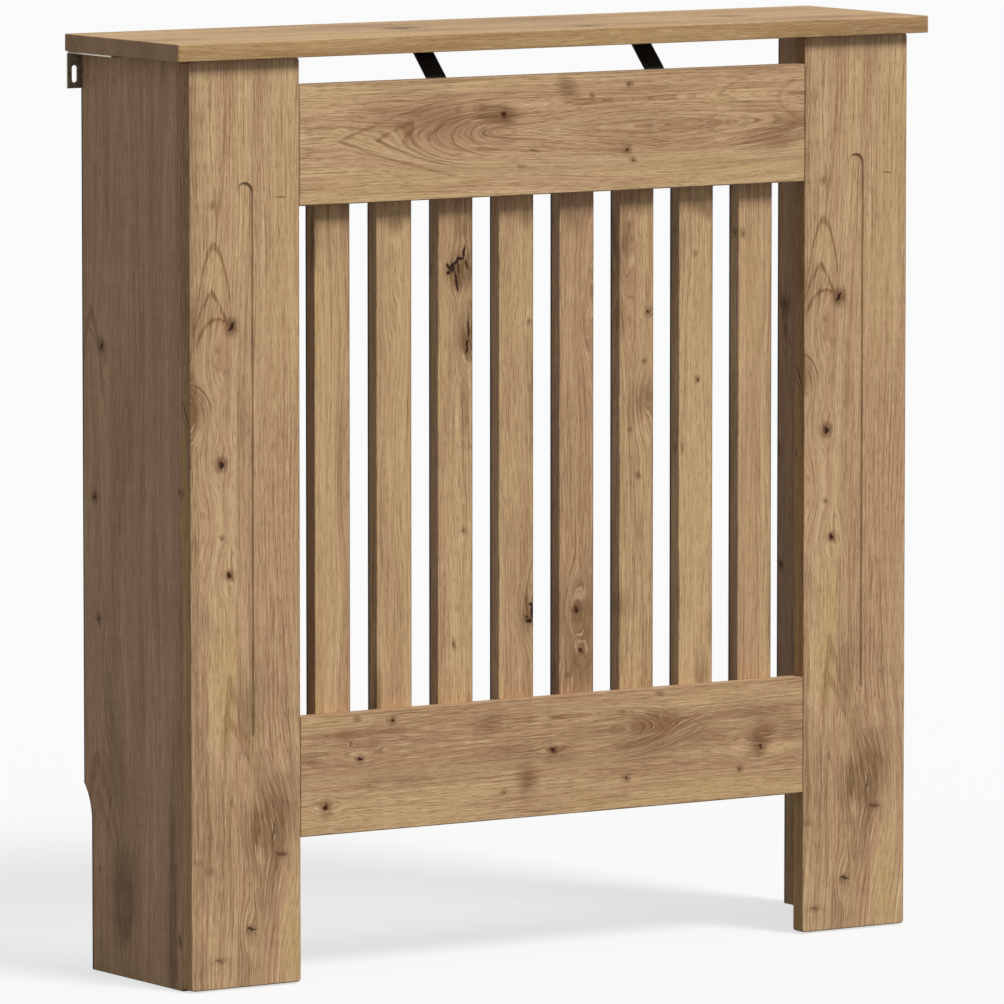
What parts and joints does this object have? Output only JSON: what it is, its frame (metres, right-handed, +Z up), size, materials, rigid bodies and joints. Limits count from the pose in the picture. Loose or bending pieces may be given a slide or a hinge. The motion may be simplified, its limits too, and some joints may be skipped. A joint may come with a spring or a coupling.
{
  "type": "radiator cover cabinet",
  "caption": "Radiator cover with a shelf top, grooved front posts, a framed grille of upright slats, an open back, skirting cut-outs and slotted steel wall brackets.",
  "frame": {"origin": "on the floor, under the centre of the shelf (the centre of the overall footprint)", "axes": "+X to the right seen from the front, -Y out of the slatted front, +Y into the wall, +Z up"},
  "size_m": [0.78, 0.19, 0.815],
  "materials": {
    "oak": "matt oak-grain foil on board, straight light-brown grain with knots",
    "black_steel": "satin black powder coat",
    "gunmetal_steel": "dark plated steel sheet with bright cut edges",
    "zinc_steel": "bright zinc plate",
    "beech": "plain turned beech"
  },
  "bodies": {
    "root": {"top_panel": "oak", "side_panel_left": "oak", "side_panel_right": "oak", "front_post_left": "oak", "front_post_right": "oak", "rail_upper": "oak", "rail_lower": "oak", "slat_1": "oak", "slat_2": "oak", "slat_3": "oak", "slat_4": "oak", "slat_5": "oak", "slat_6": "oak", "slat_7": "oak", "slat_8": "oak", "brace_left": "black_steel", "brace_right": "black_steel", "wall_bracket_left": "gunmetal_steel", "wall_bracket_right": "gunmetal_steel", "slat_screw_1_lower": "zinc_steel", "slat_screw_1_upper": "zinc_steel", "slat_screw_2_lower": "zinc_steel", "slat_screw_2_upper": "zinc_steel", "slat_screw_3_lower": "zinc_steel", "slat_screw_3_upper": "zinc_steel", "slat_screw_4_lower": "zinc_steel", "slat_screw_4_upper": "zinc_steel", "slat_screw_5_lower": "zinc_steel", "slat_screw_5_upper": "zinc_steel", "slat_screw_6_lower": "zinc_steel", "slat_screw_6_upper": "zinc_steel", "slat_screw_7_lower": "zinc_steel", "slat_screw_7_upper": "zinc_steel", "slat_screw_8_lower": "zinc_steel", "slat_screw_8_upper": "zinc_steel", "brace_rail_screw_left": "zinc_steel", "brace_rail_screw_right": "zinc_steel", "brace_shelf_screw_left": "zinc_steel", "brace_shelf_screw_right": "zinc_steel", "wall_bracket_screw_left_front": "zinc_steel", "wall_bracket_screw_left_rear": "zinc_steel", "wall_bracket_screw_right_front": "zinc_steel", "wall_bracket_screw_right_rear": "zinc_steel", "rail_upper_dowel_left_lower": "beech", "rail_upper_dowel_left_upper": "beech", "rail_upper_dowel_right_lower": "beech", "rail_upper_dowel_right_upper": "beech", "rail_lower_dowel_left_lower": "beech", "rail_lower_dowel_left_upper": "beech", "rail_lower_dowel_right_lower": "beech", "rail_lower_dowel_right_upper": "beech", "post_dowel_left_lower": "beech", "post_dowel_left_upper": "beech", "post_dowel_right_lower": "beech", "post_dowel_right_upper": "beech", "shelf_dowel_left_front": "beech", "shelf_dowel_left_rear": "beech", "shelf_dowel_right_front": "beech", "shelf_dowel_right_rear": "beech"}
  },
  "joints": []
}
